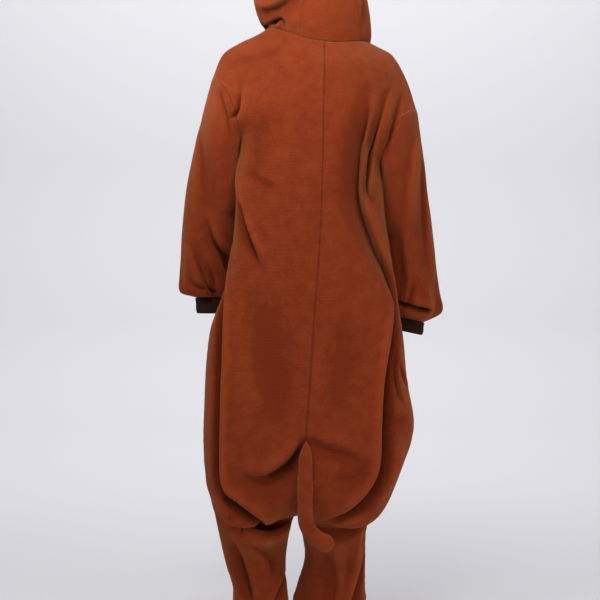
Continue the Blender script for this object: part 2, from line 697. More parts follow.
# Where the seat sags on both sides of the tail.
crease("body", 1, [18, -924, 0, 26, 9], [30, -948, 16, 30, 9], [50, -974, 25, 32, 9], [72, -994, 28, 34, 9],
    [104, -1013, 25, 34, 10], [134, -1020, 16, 32, 12], [172, -1018, 0, 26, 13])
crease("body", 1, [14, -922, 0, 11, 20], [-8, -944, 10, 12, 24], [-40, -954, 13, 12, 26],
    [-76, -966, 11, 13, 28], [-112, -990, 7, 14, 26], [-136, -1004, 0, 14, 24])
crease("body", 1, [-42, -1010, 0, 13, 22], [-70, -1022, 7, 13, 22], [-102, -1016, 10, 12, 20],
    [-132, -998, 0, 12, 18])
crease("body", 1, [120, -560, 0, 46, 34], [118, -660, 8, 50, 34], [110, -750, 13, 50, 32],
    [98, -819, 15, 44, 26], [92, -862, 9, 36, 24], [92, -912, 0, 30, 24])
crease("body", 1, [-62, -640, 0, 34, 30], [-70, -730, 6, 36, 30], [-60, -820, 5, 34, 30],
    [-48, -900, 0, 30, 26])
# Folds that fan out over the right hip, under the cloth's own weight.
crease("body", 1, [-200, -720, 0, 6, 9], [-199, -767, 9, 6, 11], [-200, -805, 12, 6, 12],
    [-206, -840, 8, 6, 12], [-216, -866, 0, 7, 11])
crease("body", 1, [-204, -748, 0, 5, 8], [-212, -780, 8, 5, 9], [-222, -806, 9, 5, 9], [-234, -830, 0, 6, 8])
crease("body", 1, [-178, -920, 0, 12, 20], [-190, -904, 7, 12, 22], [-206, -892, 7, 12, 24],
    [-222, -886, 0, 12, 20])
crease("body", 1, [-198, -930, 0, 14, 18], [-204, -970, -7, 14, 18], [-192, -1018, -8, 13, 16],
    [-168, -1056, -5, 12, 15], [-140, -1088, 0, 12, 13])
# Slack between the shoulders and across the waist.
crease("body", 1, [118, -150, 0, 26, 18], [126, -230, 6, 28, 18], [128, -310, 7, 28, 18],
    [120, -390, 0, 24, 18])
crease("body", 1, [168, -300, 0, 9, 12], [136, -326, 4, 9, 14], [104, -344, 6, 8, 14], [82, -352, 0, 8, 12])
crease("body", 1, [60, -24, 0, 20, 15], [96, -36, 4, 20, 16], [150, -50, 4, 18, 16], [196, -68, 0, 16, 14])
# The legs: cloth gathered under the seat, and the long drapes down to the cuffs.
crease("body", 1, [196, -1096, 0, 14, 8], [180, -1112, 8, 16, 8], [158, -1134, 17, 18, 8],
    [136, -1145, 21, 18, 8], [112, -1151, 20, 18, 8], [80, -1147, 15, 16, 8], [52, -1130, 0, 13, 7])
crease("body", 1, [46, -1160, 0, 14, 7], [56, -1207, 8, 15, 7], [60, -1243, 11, 16, 7],
    [65, -1273, 11, 16, 7], [77, -1299, 10, 15, 7], [87, -1324, 8, 14, 7], [98, -1356, 0, 13, 6])
crease("body", 1, [196, -1160, 0, 8, 20], [176, -1200, 12, 8, 24], [160, -1248, 15, 9, 26],
    [146, -1300, 13, 9, 26], [140, -1350, 0, 9, 20])
crease("body", 1, [150, -1176, 0, 16, 8], [122, -1198, 8, 16, 8], [100, -1232, 10, 16, 8],
    [92, -1268, 0, 14, 8])
crease("body", 1, [-126, -1120, 0, 18, 6], [-127, -1170, 16, 20, 6], [-121, -1217, 22, 20, 6],
    [-114, -1253, 22, 20, 6], [-104, -1291, 18, 18, 6], [-95, -1322, 13, 16, 6], [-84, -1358, 0, 14, 6])
crease("body", 1, [-112, -1120, 0, 10, 8], [-112, -1170, -6, 8, 10], [-106, -1217, -7, 8, 10],
    [-98, -1253, -7, 8, 10], [-88, -1291, -6, 8, 10], [-76, -1340, 0, 8, 10])
crease("body", 1, [-52, -1128, 0, 9, 9], [-76, -1122, -6, 8, 8], [-100, -1112, -8, 8, 9],
    [-124, -1110, -8, 8, 9], [-144, -1116, -6, 9, 9], [-158, -1124, 0, 9, 9])
crease("body", 1, [-96, -1136, 0, 8, 8], [-112, -1134, 12, 8, 8], [-134, -1138, 14, 8, 8],
    [-150, -1144, 0, 8, 8])
crease("body", 1, [-16, -1170, 0, 12, 22], [-38, -1222, 9, 12, 26], [-48, -1276, 11, 12, 26],
    [-44, -1345, 0, 12, 20])
crease("body", 1, [-70, -1180, 0, 18, 10], [-84, -1230, 6, 18, 10], [-82, -1290, 6, 16, 10],
    [-72, -1340, 0, 14, 10])
# The front: the same hang, with its own folds from the chest to the low crotch.
crease("body", -1, [150, -190, 0, 20, 30], [146, -280, 13, 10, 30], [150, -420, 22, 7, 28],
    [166, -560, 20, 8, 24], [186, -660, 22, 14, 14], [192, -780, 28, 22, 7], [190, -920, 30, 24, 7],
    [172, -1010, 24, 22, 7], [136, -1064, 12, 18, 8], [98, -1094, 0, 14, 9])
crease("body", -1, [-140, -200, 0, 30, 16], [-134, -300, 16, 28, 8], [-136, -420, 24, 26, 7],
    [-150, -540, 20, 22, 8], [-164, -660, 22, 16, 14], [-168, -800, 28, 7, 22], [-158, -940, 28, 7, 24],
    [-134, -1028, 18, 8, 20], [-92, -1084, 0, 9, 14])
crease("body", -1, [178, -210, 0, 12, 8], [168, -270, 9, 13, 6], [160, -340, 14, 13, 6],
    [162, -400, 9, 12, 6], [170, -440, 0, 10, 7])
crease("body", -1, [-166, -260, 0, 8, 12], [-158, -310, 10, 6, 13], [-156, -370, 13, 6, 13],
    [-166, -430, 0, 7, 11])
crease("body", -1, [70, -300, 0, 22, 32], [78, -420, 9, 20, 34], [82, -560, 12, 22, 34],
    [94, -700, 13, 20, 32], [98, -840, 12, 20, 30], [92, -960, 0, 20, 24])
crease("body", -1, [-80, -260, 0, 30, 18], [-84, -400, 8, 32, 18], [-78, -560, 11, 32, 20],
    [-82, -720, 9, 30, 20], [-70, -880, 0, 26, 20])
crease("body", -1, [40, -960, 0, 14, 26], [66, -1000, 12, 12, 32], [104, -1020, 13, 12, 30],
    [146, -1010, 0, 13, 24])
crease("body", -1, [16, -970, 0, 26, 13], [-14, -1000, 9, 28, 12], [-56, -1008, 11, 28, 12],
    [-104, -990, 0, 24, 13])
crease("body", -1, [118, -95, 0, 12, 18], [136, -140, 9, 8, 20], [158, -190, 12, 7, 18],
    [172, -232, 0, 8, 14])
crease("body", -1, [-130, -130, 0, 18, 12], [-142, -190, 9, 20, 8], [-154, -250, 11, 18, 7],
    [-160, -290, 0, 14, 8])
crease("body", -1, [190, -640, 0, 8, 14], [206, -700, 10, 7, 15], [214, -780, 12, 7, 15],
    [216, -850, 0, 8, 14])
crease("body", -1, [150, -1140, 0, 16, 7], [134, -1205, 11, 17, 7], [126, -1270, 13, 18, 7],
    [132, -1350, 0, 14, 8])
crease("body", -1, [-60, -1140, 0, 8, 15], [-72, -1215, 10, 7, 18], [-66, -1285, 12, 7, 18],
    [-56, -1350, 0, 8, 14])
crease("body", -1, [204, -1116, 0, 7, 18], [164, -1136, 16, 7, 20], [112, -1142, 15, 7, 20],
    [62, -1134, 0, 7, 15])
crease("body", -1, [-20, -1126, 0, 7, 14], [-58, -1136, 10, 7, 16], [-96, -1130, 10, 7, 16],
    [-126, -1112, 0, 7, 13])
# The sleeves: the bent elbow's folds, long hollows down the outside, and the cloth resting on the cuffs.
crease("sleeve_left", 1, [222, -112, 0, 8, 7], [212, -142, 8, 8, 6], [203, -176, 10, 8, 6],
    [196, -212, 8, 8, 6], [192, -250, 0, 8, 6])
crease("sleeve_left", 1, [262, -400, 0, 7, 18], [246, -440, 9, 7, 20], [232, -474, 15, 7, 20],
    [214, -496, 17, 7, 18], [198, -506, 11, 7, 14], [186, -512, 0, 8, 12])
crease("sleeve_left", 1, [270, -170, 0, 22, 12], [262, -260, 8, 24, 12], [258, -340, 10, 24, 11],
    [252, -420, 0, 20, 12])
crease("sleeve_left", 1, [224, -505, 0, 14, 7], [210, -532, 13, 14, 6], [206, -560, 13, 14, 6],
    [214, -590, 0, 11, 7])
crease("sleeve_left", 1, [290, -470, 0, 16, 8], [280, -516, 9, 16, 7], [266, -556, 11, 14, 7],
    [252, -588, 0, 11, 8])
crease("sleeve_left", 1, [250, -520, 0, 6, 12], [242, -548, 8, 6, 12], [236, -574, 8, 6, 11],
    [234, -596, 0, 6, 10])
crease("sleeve_left", 1, [266, -564, 0, 7, 7], [256, -576, 12, 6, 6], [247, -587, 17, 6, 6],
    [238, -594, 15, 6, 6], [230, -598, 0, 6, 6])
crease("sleeve_left", 1, [300, -560, 0, 8, 8], [284, -578, 8, 8, 7], [262, -588, 9, 8, 7],
    [240, -592, 0, 8, 7])
crease("sleeve_left", -1, [206, -350, 0, 7, 18], [226, -392, 14, 6, 18], [250, -416, 15, 6, 18],
    [280, -424, 0, 7, 14])
crease("sleeve_left", -1, [216, -420, 0, 7, 16], [238, -452, 11, 6, 17], [266, -466, 10, 6, 16],
    [292, -470, 0, 7, 13])
crease("sleeve_right", 1, [-250, -225, 0, 15, 10], [-246, -262, -9, 15, 10], [-238, -329, -11, 16, 10],
    [-232, -398, -8, 16, 10], [-229, -450, 0, 14, 11])
crease("sleeve_right", 1, [-262, -250, 0, 12, 14], [-264, -330, 8, 11, 16], [-268, -420, 11, 11, 17],
    [-276, -510, 8, 11, 16], [-282, -580, 0, 11, 14])
crease("sleeve_right", 1, [-292, -636, 0, 9, 6], [-278, -634, 18, 10, 7], [-258, -630, 24, 10, 7],
    [-236, -624, 24, 10, 7], [-214, -617, 18, 9, 7], [-200, -610, 0, 8, 6])
crease("sleeve_right", 1, [-292, -654, 0, 9, 9], [-276, -652, -7, 9, 9], [-250, -646, -8, 9, 9],
    [-222, -638, -6, 9, 9], [-204, -630, 0, 9, 9])
crease("sleeve_right", 1, [-204, -420, 0, 8, 18], [-214, -490, 8, 8, 20], [-220, -550, 8, 8, 20],
    [-220, -600, 0, 9, 15])
crease("sleeve_right", 1, [-246, -560, 0, 10, 7], [-240, -590, 7, 10, 6], [-230, -612, 6, 9, 6],
    [-222, -628, 0, 8, 6])
crease("sleeve_right", -1, [-196, -400, 0, 18, 7], [-214, -440, 14, 18, 6], [-240, -462, 15, 18, 6],
    [-272, -470, 0, 14, 7])
crease("sleeve_right", -1, [-204, -470, 0, 16, 7], [-228, -500, 11, 16, 6], [-262, -514, 10, 15, 6],
    [-284, -516, 0, 12, 7])
# The hood: pushed together where it meets the left shoulder, slack over the nape and at its sides.
crease("hood", 1, [138, 44, 0, 9, 8], [122, 40, 28, 9, 8], [107, 38, 38, 8, 8], [95, 41, 38, 7, 6],
    [84, 46, 26, 6, 5], [75, 47, 16, 5, 5], [67, 40, 12, 5, 5], [63, 30, 0, 5, 5])
crease("hood", 1, [134, 80, 0, 10, 20], [114, 73, 12, 9, 20], [88, 74, 15, 9, 22], [60, 84, 11, 9, 24],
    [32, 98, 6, 10, 26], [4, 110, 0, 12, 24])
crease("hood", 1, [-116, 14, 0, 7, 12], [-120, 60, 5, 7, 13], [-122, 100, 8, 6, 14], [-120, 150, 0, 7, 14])
crease("hood", 1, [-60, 150, 0, 22, 28], [-20, 190, 6, 20, 30], [40, 205, 7, 20, 30], [90, 190, 0, 20, 24])
crease("hood", -1, [100, -60, 0, 7, 14], [60, -72, 9, 6, 15], [10, -70, 8, 6, 15], [-40, -60, 0, 7, 13])


def seam_distance(sheet, edges):
    """How far each point is from the nearest of the named edges, along the cloth."""
    points = sheet["points"]
    down = np.cumsum(np.linalg.norm(np.diff(points, axis=0, prepend=points[:1]), axis=2), axis=0)
    across = np.cumsum(np.linalg.norm(np.diff(points, axis=1, prepend=points[:, :1]), axis=2), axis=1)
    ways = dict(top=down, bottom=down[-1:] - down, first=across, last=across[:, -1:] - across)
    return np.minimum.reduce([ways[edge] for edge in edges])


# Seams: each edge turns in, the cloth beside it swells and is drawn into short puckers by the thread.
EDGES = dict(
    hood_left=["top", "last"], hood_centre=["top", "first", "last"], hood_right=["top", "first"],
    sleeve_left=["top", "bottom"], sleeve_right=["top", "bottom"],
)
# How high the swell is, how far off the seam and how wide; how deep the edge turns in, and where its
# stitches show.
SWELL, SWELL_AT, SWELL_WIDTH = 0.35, 4, 2.6
SINK, SINK_WIDTH, STITCH_AT = 0.9, 1.4, 3.2
for name, sheet in sheets.items():
    distance = seam_distance(sheet, EDGES.get(name, ["top", "bottom", "first", "last"]))
    points = sheet["points"]
    swell = np.exp(-(((distance - SWELL_AT) / SWELL_WIDTH) ** 2))
    uneven = np.sin(points[..., 2] / 3.1 + 2 * np.sin(points[..., 0] / 9)) * np.sin(points[..., 2] / 17 + 1)
    sheet["height"] += SWELL * swell * (1 + uneven) - SINK * np.exp(-((distance / SINK_WIDTH) ** 2))
    sheet["groove"] = np.exp(-((distance / 1.2) ** 2)) * (0.35 if name[:4] == "hood" else 1)
    sheet["stitch"] = np.exp(-((distance - STITCH_AT) ** 2)) * (0.7 + 0.3 * np.sign(np.sin(points[..., 2])))
    # the slight unevenness of hanging cloth: three slow waves, longer down the cloth than across it
    x, y, z = np.moveaxis(points, -1, 0)
    slow = np.sin(x / 31 + y / 47 + np.sin(z / 140)) * np.sin(z / 96 + x / 120 + 0.7)
    slow = slow + 0.6 * np.sin(x / 17 - y / 23 + z / 150 + 2) * np.sin(z / 58 + y / 60)
    sheet["height"] += 0.9 * slow * smooth(distance, 0, 40)


def shell_mesh(name, outer, normals, thickness, out, wrap, relief, groove):
    """A closed wall: the outer grid, the inner grid one thickness in, and rims; with how high and how near
    a seam each point is, and a map of it in metres, for the material."""
    rows, columns = outer.shape[:2]
    inner = outer - normals * thickness
    grid = corner_indices(rows, columns, wrap)
    if out < 0:
        grid = grid[:, ::-1]
    count = rows * columns
    index = np.arange(count).reshape(rows, columns)
    loops = [(index[0], 1), (index[-1], -1)]
    if not wrap:
        loops += [(index[:, 0], -1), (index[:, -1], 1)]
    faces = [grid, grid[:, ::-1] + count]
    for loop, turn in loops:
        a, b = loop, np.roll(loop, -1)
        if not wrap:
            a, b = a[:-1], b[:-1]
        quad = np.stack([b, a, a + count, b + count], axis=1)
        faces.append(quad if turn * out > 0 else quad[:, ::-1])
    faces = np.concatenate(faces)
    points = np.concatenate([outer.reshape(-1, 3), inner.reshape(-1, 3)]) / 1000
    mesh = bpy.data.meshes.new(name)
    mesh.vertices.add(len(points))
    mesh.vertices.foreach_set("co", points.ravel())
    mesh.loops.add(faces.size)
    mesh.loops.foreach_set("vertex_index", faces.ravel().astype(np.int32))
    mesh.polygons.add(len(faces))
    mesh.polygons.foreach_set("loop_start", np.arange(len(faces), dtype=np.int32) * 4)
    mesh.update(calc_edges=True)
    mesh.shade_smooth()
    across = np.cumsum(np.linalg.norm(np.diff(outer, axis=1, prepend=outer[:, :1]), axis=2), axis=1)
    down = np.cumsum(np.linalg.norm(np.diff(outer, axis=0, prepend=outer[:1]), axis=2), axis=0)
    flat = (
        np.stack([across, np.broadcast_to(down.mean(1)[:, None], across.shape)], axis=2).reshape(-1, 2)
        / 1000
    )
    flat = np.concatenate([flat, flat])
    layer = mesh.uv_layers.new(name="cloth")
    layer.data.foreach_set("uv", flat[faces.ravel()].ravel())
    for key, value in (("relief", relief), ("groove", groove)):
        attribute = mesh.attributes.new(key, "FLOAT", "POINT")
        attribute.data.foreach_set("value", np.concatenate([value.ravel(), value.ravel()]).astype(np.float32))
    mesh.set_sharp_from_angle(angle=np.radians(70))
    shown = bpy.data.objects.new(name + "_cloth", mesh)
    bpy.context.scene.collection.objects.link(shown)
    return shown


def principled(name, **values):
    """A material with one shader, and values set on the shader's own sockets."""
    material = bpy.data.materials.new(name)
    material.use_nodes = True
    shader = material.node_tree.nodes["Principled BSDF"]
    for key, value in values.items():
        shader.inputs[key.replace("_", " ")].default_value = value
    return material, shader


def plug(material, socket, value):
    """Sets a socket to a number or a colour, or links it to another node's output."""
    if isinstance(value, bpy.types.NodeSocket):
        material.node_tree.links.new(value, socket)
    else:
        socket.default_value = value


def node(material, kind, **inputs):
    """A node with its sockets plugged by name."""
    made = material.node_tree.nodes.new(kind)
    for key, value in inputs.items():
        plug(material, made.inputs[key.replace("_", " ")], value)
    return made


def maths(material, operation, *values):
    """One sum, product or maximum of numbers and outputs."""
    made = material.node_tree.nodes.new("ShaderNodeMath")
    made.operation = operation
    for socket, value in zip(made.inputs, values):
        plug(material, socket, value)
    return made.outputs[0]


def two_colours(material, share, first, second):
    """The first colour where the share is 0, the second where it is 1, and their mixture between."""
    made = material.node_tree.nodes.new("ShaderNodeMix")
    made.data_type = "RGBA"
    for socket, value in ((0, share), (6, first), (7, second)):
        plug(material, made.inputs[socket], value)
    return made.outputs[2]


def noise(material, place, scale, detail=2.0, rough=0.5):
    """Soft random patches, so many to a metre."""
    return node(
        material, "ShaderNodeTexNoise", Vector=place, Scale=scale, Detail=detail, Roughness=rough
    ).outputs[0]


def attribute(material, name):
    """A number that is kept at each point of the mesh."""
    made = material.node_tree.nodes.new("ShaderNodeAttribute")
    made.attribute_name = name
    return made.outputs["Fac"]


FLEECE_COLOUR = (0.215, 0.0288, 0.0066, 1)
FLEECE_LIGHT = (0.335, 0.0545, 0.0138, 1)
FLEECE_DEEP = (0.06, 0.009, 0.003, 1)


def fleece_material():
    """Short-napped fleece: mottled by the lie of its nap, lighter where it is raised and rubbed, deeper in
    its seams, with a velvety sheen, a fine nap and the faint cross ribs of its knit."""
    material, shader = principled(
        "fleece", Roughness=0.95, Sheen_Weight=0.5, Sheen_Roughness=0.34, Sheen_Tint=(1, 0.42, 0.16, 1),
        Specular_IOR_Level=0.12,
    )
    here = material.node_tree.nodes.new("ShaderNodeTexCoord").outputs["Object"]
    cloth = material.node_tree.nodes.new("ShaderNodeUVMap")
    cloth.uv_map = "cloth"
    mottle = noise(material, here, 38, 3, 0.55)
    lie = noise(material, here, 210, 2, 0.6)
    blend = maths(
        material, "ADD", maths(material, "MULTIPLY", mottle, 0.9), maths(material, "MULTIPLY", lie, 0.5)
    )
    blend = maths(material, "ADD", blend, maths(material, "MULTIPLY", attribute(material, "relief"), 0.5))
    stitched = maths(
        material, "MAXIMUM", maths(material, "MULTIPLY", attribute(material, "groove"), -1.0), 0.0
    )
    blend = maths(material, "ADD", blend, stitched)
    share = node(
        material, "ShaderNodeMapRange", Value=blend, From_Min=0.4, From_Max=1.15, To_Min=0.0, To_Max=1.0
    )
    colour = two_colours(material, share.outputs[0], FLEECE_COLOUR, FLEECE_LIGHT)
    deep = maths(material, "MAXIMUM", maths(material, "MULTIPLY", attribute(material, "groove"), 0.45), 0.0)
    plug(material, shader.inputs["Base Color"], two_colours(material, deep, colour, FLEECE_DEEP))
    ribs = node(
        material, "ShaderNodeTexWave",
        Vector=cloth.outputs[0], Scale=95.0, Distortion=1.2, Detail=1.0, Detail_Scale=1.5,
    )
    ribs.bands_direction = "Y"
    nap = maths(material, "MULTIPLY", noise(material, here, 900, 2, 0.7), 0.55)
    nap = maths(material, "ADD", nap, maths(material, "MULTIPLY", noise(material, here, 260, 2, 0.6), 0.6))
    nap = maths(material, "ADD", nap, maths(material, "MULTIPLY", ribs.outputs["Fac"], 0.22))
    bump = node(material, "ShaderNodeBump", Strength=1.0, Distance=0.003, Height=nap)
    plug(material, shader.inputs["Normal"], bump.outputs[0])
    return material


fleece = fleece_material()
HOOD_NAP = 0.7


def show_cloth(name, sheet):
    """The wall of one piece: its grid moved out by its height and along by its slide, one thickness deep."""
    outer = sheet["points"] + sheet["normals"] * sheet["height"][..., None] + sheet["slide"]
    # the hood's pieces are cut with the nap turned the other way, so that they look lighter
    relief = np.clip(sheet["height"] / 9, -1, 1) + (HOOD_NAP if name.startswith("hood") else 0)
    # the nap lies closed and deep in colour in the seams and at the bottom of the folds
    folded = 2.0 * smooth(sheet["fold"], 4, 22)
    seam = np.maximum(sheet["groove"] - 0.5 * sheet["stitch"] * (1 - sheet["groove"]), folded)
    shown = shell_mesh(name, outer, sheet["normals"], CLOTH, sheet["out"], sheet["wrap"], relief, seam)
    shown.data.materials.append(fleece)
    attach(shown, "root")
    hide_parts(name)
    return shown


for name, sheet in sheets.items():
    show_cloth(name, sheet)

# ---- The ribbed cuffs ----
# Narrow bands of dark rib knit on the sleeves and the legs, doubled over at their open end and sewn,
# stretched, to the gathered edge of the fleece.

RIB_CLOTH = 2.4
RIB_PITCH = 3.4
RIB_FURROW = (0.009, 0.004, 0.002, 1)
RIB_CREST = (0.04, 0.018, 0.009, 1)
CUFF_TUCK = 5.0
LEG_CUFF_LENGTH, LEG_CUFF_TAPER = 54, 0.05


def rib_material():
    """Dark rib knit: the furrows between the ribs are deeper in colour, and each rib is made of small
    stitches."""
    material, shader = principled(
        "rib", Roughness=0.95, Sheen_Weight=0.12, Sheen_Tint=(0.8, 0.42, 0.25, 1), Specular_IOR_Level=0.15
    )
    here = material.node_tree.nodes.new("ShaderNodeTexCoord").outputs["Object"]
    colour = two_colours(material, attribute(material, "relief"), RIB_FURROW, RIB_CREST)
    plug(material, shader.inputs["Base Color"], colour)
    bump = node(
        material, "ShaderNodeBump",
        Strength=0.6, Distance=0.001, Height=noise(material, here, 1100, 2, 0.7),
    )
    plug(material, shader.inputs["Normal"], bump.outputs[0])
    return material


rib = rib_material()


def show_cuff(name, ring_at, columns, out):
    """A tube through rings of points, raised into ribs along it by a cosine around it and rounded over at
    its open end. Its first ring is tucked up inside the cloth that it is sewn to."""
    down = np.linspace(0, 1, 17)
    rings = ring_at(down, columns)
    centre = rings.mean(axis=1, keepdims=True)
    normals = unit(rings - centre)
    girth = np.linalg.norm(np.diff(rings[0], axis=0, append=rings[0][:1]), axis=1).sum()
    count = round(girth / RIB_PITCH)
    rib_wave = 0.5 + 0.5 * np.cos(2 * np.pi * count * np.arange(columns) / columns)
    tucked = rings[0] - unit(rings[1].mean(0) - rings[0].mean(0)) * CUFF_TUCK
    rings, down = np.concatenate([tucked[None], rings]), np.concatenate([[0], down])
    centre, normals = rings.mean(axis=1, keepdims=True), np.concatenate([normals[:1], normals])
    ends = smooth(down, 0, 0.08) * (1 - smooth(down, 0.93, 1))
    slack = 0.8 * np.sin(down * 9 + 1)[:, None] * np.sin(np.arange(columns) * 4 * np.pi / columns + 2)[None]
    height = 0.9 * rib_wave[None] ** 0.7 * ends[:, None] - 1.0 * (1 - ends[:, None]) + slack * ends[:, None]
    outer = rings + normals * height[..., None]
    relief = np.broadcast_to(rib_wave[None] * ends[:, None], height.shape)
    shown = shell_mesh(name, outer, normals, RIB_CLOTH, out, True, relief, 0 * relief)
    shown.data.materials.append(rib)
    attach(shown, "root")
    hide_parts(name)


def sleeve_cuff(arm):
    """Tilted ellipses, wide x cos and deep x sin, carried on from the sleeve's last ring."""

    def rings(down, columns):
        row = {name: value[:, None] for name, value in read(arm["cuff"], down).items()}
        angle = 2 * np.pi * np.arange(columns) / columns
        lift = np.radians(row["tip"])
        across = vectors(arm["side"] * np.cos(lift), 0 * lift, np.sin(lift))
        ring = place(row) + across * (row["wide"] * np.cos(angle))[..., None]
        return ring + np.array([0, 1, 0]) * (row["deep"] * np.sin(angle))[..., None]

    return rings


def leg_cuff(side):
    """The outline of the two panels' last rows, at even steps around it, drawn in a little on its way
    down."""

    def rings(down, columns):
        back, front = sheets[f"back_{side}"]["points"][-1], sheets[f"front_{side}"]["points"][-1]
        ring = np.concatenate([back[:-1], front[:0:-1]])
        closed = np.concatenate([ring, ring[:1]])
        along = np.concatenate([[0], np.cumsum(np.linalg.norm(np.diff(closed, axis=0), axis=1))])
        at = along[-1] * np.arange(columns) / columns
        ring = np.stack([np.interp(at, along, closed[:, k]) for k in range(3)], axis=1)
        centre = ring.mean(axis=0)
        taper = 1 - LEG_CUFF_TAPER * down[:, None, None]
        return (
            centre + (ring - centre)[None] * taper - down[:, None, None] * np.array([0, 0, LEG_CUFF_LENGTH])
        )

    return rings


show_cuff("sleeve_cuff_left", sleeve_cuff(LEFT_ARM), 372, -1)
show_cuff("sleeve_cuff_right", sleeve_cuff(RIGHT_ARM), 372, 1)
show_cuff("leg_cuff_left", leg_cuff("left"), 480, 1)
show_cuff("leg_cuff_right", leg_cuff("right"), 480, -1)

# ---- The tail ----
# A stuffed tube of the same fleece, caught by its pointed end in the centre back seam; it hangs down the
# seat, turns to the right below it and ends in a round tip. One seam runs along its inner side.

TAIL = table(
    "at x y z radius",
    [0, 15, 167.3, -940, 3.4],
    [0.08, 15, 176.1, -954, 10.5],
    [0.2, 16, 183, -976, 15.2],
    [0.4, 17, 187.9, -1022, 16.8],
    [0.6, 17, 188.3, -1072, 17.3],
    [0.74, 16, 186.3, -1108, 17.6],
    [0.82, 9, 183.6, -1133, 18],
    [0.9, -7, 180.4, -1152, 19],
    [1, -28, 176.8, -1166, 20],
)
TAIL_ROWS, TAIL_COLUMNS = 150, 72


def tube_mesh(name, rings, ends):
    """A closed tube through rings of points, with a point at each end."""
    rows, columns = rings.shape[:2]
    points = np.concatenate([rings.reshape(-1, 3), ends]) / 1000
    grid = corner_indices(rows, columns, True)
    mesh = bpy.data.meshes.new(name)
    around = np.arange(columns)
    following = (around + 1) % columns
    first = np.stack([following, around, np.full(columns, rows * columns)], axis=1)
    last_row = (rows - 1) * columns
    last = np.stack([last_row + around, last_row + following, np.full(columns, rows * columns + 1)], axis=1)
    mesh.from_pydata(points.tolist(), [], grid.tolist() + first.tolist() + last.tolist())
    mesh.shade_smooth()
    shown = bpy.data.objects.new(name, mesh)
    bpy.context.scene.collection.objects.link(shown)
    return shown


def point_attributes(shown, **values):
    """Keeps named numbers at the points of a mesh, for its material."""
    for key, value in values.items():
        made = shown.data.attributes.new(key, "FLOAT", "POINT")
        made.data.foreach_set("value", np.asarray(value, np.float32))


def tail_rings():
    """Rings square to the centre line; past its end they close in a half ball."""
    body = 1 - np.linspace(1, 0, TAIL_ROWS) ** 1.2
    row = read(TAIL, body)
    centre = place(row)
    along = unit(np.gradient(centre, axis=0))
    radius = row["radius"]
    cap = np.linspace(0, 1, 26)[1:-1] * np.pi / 2
    centre = np.concatenate([centre, centre[-1] + along[-1] * (radius[-1] * np.sin(cap))[:, None]])
    along = np.concatenate([along, np.repeat(along[-1:], len(cap), axis=0)])
    radius = np.concatenate([radius, radius[-1] * np.cos(cap)])
    sideways = unit(np.cross([0, 1.0, 0], along))
    upward = np.cross(along, sideways)
    angle = 2 * np.pi * np.arange(TAIL_COLUMNS) / TAIL_COLUMNS
    length = np.concatenate([[0], np.cumsum(np.linalg.norm(np.diff(centre, axis=0), axis=1))])[:, None]
    # the bend pushes the cloth together on its inner side, and the seam is drawn in along the tube
    bend = np.exp(-(((length - 196) / 22) ** 2)) * np.maximum(0, np.cos(angle - 0.25))
    folds = -1.6 * bend * (1 + np.cos(length / 2.3))
    slack = 0.5 * np.sin(length / 13 + 2 * np.sin(angle)) + 0.35 * np.sin(length / 7.5 + 3 * angle)
    seam = -1.1 * np.exp(-((np.angle(np.exp(1j * (angle + 1.9))) / 0.09) ** 2))
    full = smooth(radius, 3, 12)[:, None]
    height = full * (folds + slack + seam)
    ring = centre[:, None] + (radius[:, None] + height)[..., None] * (
        sideways[:, None] * np.cos(angle)[None, :, None] + upward[:, None] * np.sin(angle)[None, :, None]
    )
    return ring, centre, along, height


rings, centre, along, height = tail_rings()
tail = tube_mesh("tail_cloth", rings, [centre[0] + [0, -2, 5], centre[-1] + along[-1] * 0.15])
point_attributes(tail, relief=np.append(height.ravel() / 4, [0, 0]), groove=np.zeros(height.size + 2))
tail.data.materials.append(fleece)
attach(tail, "root")
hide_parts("tail")

# ---- The two ears ----
# Round pads, each of two discs of the same fleece sewn round the edge, turned and lightly stuffed. Each is
# sewn by a short side to one side of the hood.

EAR = table(
    "at out high thick",
    [0, 1.5, 24, 5],
    [0.1, 9, 30, 7],
    [0.3, 21, 37, 8],
    [0.55, 36, 38, 7.5],
    [0.75, 50, 31, 6.5],
    [0.9, 58, 20, 5],
    [1, 62.5, 7, 2],
)
EAR_ROWS, EAR_COLUMNS = 60, 96


def show_ear(name, centre, outward):
    """Lens-shaped rings, high x cos and thick x sin^1.25, stacked outwards from the hood, with puckers
    round the edge and a dimple in the middle."""
    outward = unit(np.array(outward, float))
    upward = unit(np.array([0, 0, 1.0]) - outward * outward[2])
    forward = np.cross(outward, upward)
    at = 1 - np.linspace(1, 0, EAR_ROWS) ** 1.5
    row = read(EAR, at)
    angle = 2 * np.pi * np.arange(EAR_COLUMNS) / EAR_COLUMNS
    # the two discs meet in a thin sewn edge: a lens section, pinched where it is sewn
    lens = np.sign(np.sin(angle)) * np.abs(np.sin(angle)) ** 1.25
    pucker = 0.35 * np.cos(17 * angle)[None] * np.exp(-((at - 0.7) ** 2) / 0.05)[:, None]
    dimple = -1.8 * np.exp(-(((at - 0.5) / 0.22) ** 2))[:, None] * np.abs(np.sin(angle))[None] ** 3
    thick = (row["thick"][:, None] + pucker + dimple) * lens[None]
    ring = (
        np.array(centre, float)
        + outward * row["out"][:, None, None]
        + upward * (row["high"][:, None] * np.cos(angle))[..., None]
        + forward * thick[..., None]
    )
    ends = [np.array(centre) + outward * 1.5, np.array(centre) + outward * 63]
    ear = tube_mesh(name + "_cloth", ring, ends)
    edge = np.broadcast_to(np.exp(-((np.sin(angle) / 0.07) ** 2)), ring.shape[:2])
    relief = np.append((pucker + dimple).ravel() / 4, [0, 0])
    point_attributes(ear, relief=relief, groove=np.append(0.5 * edge.ravel(), [0, 0]))
    ear.data.materials.append(fleece)
    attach(ear, "root")
    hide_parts(name)


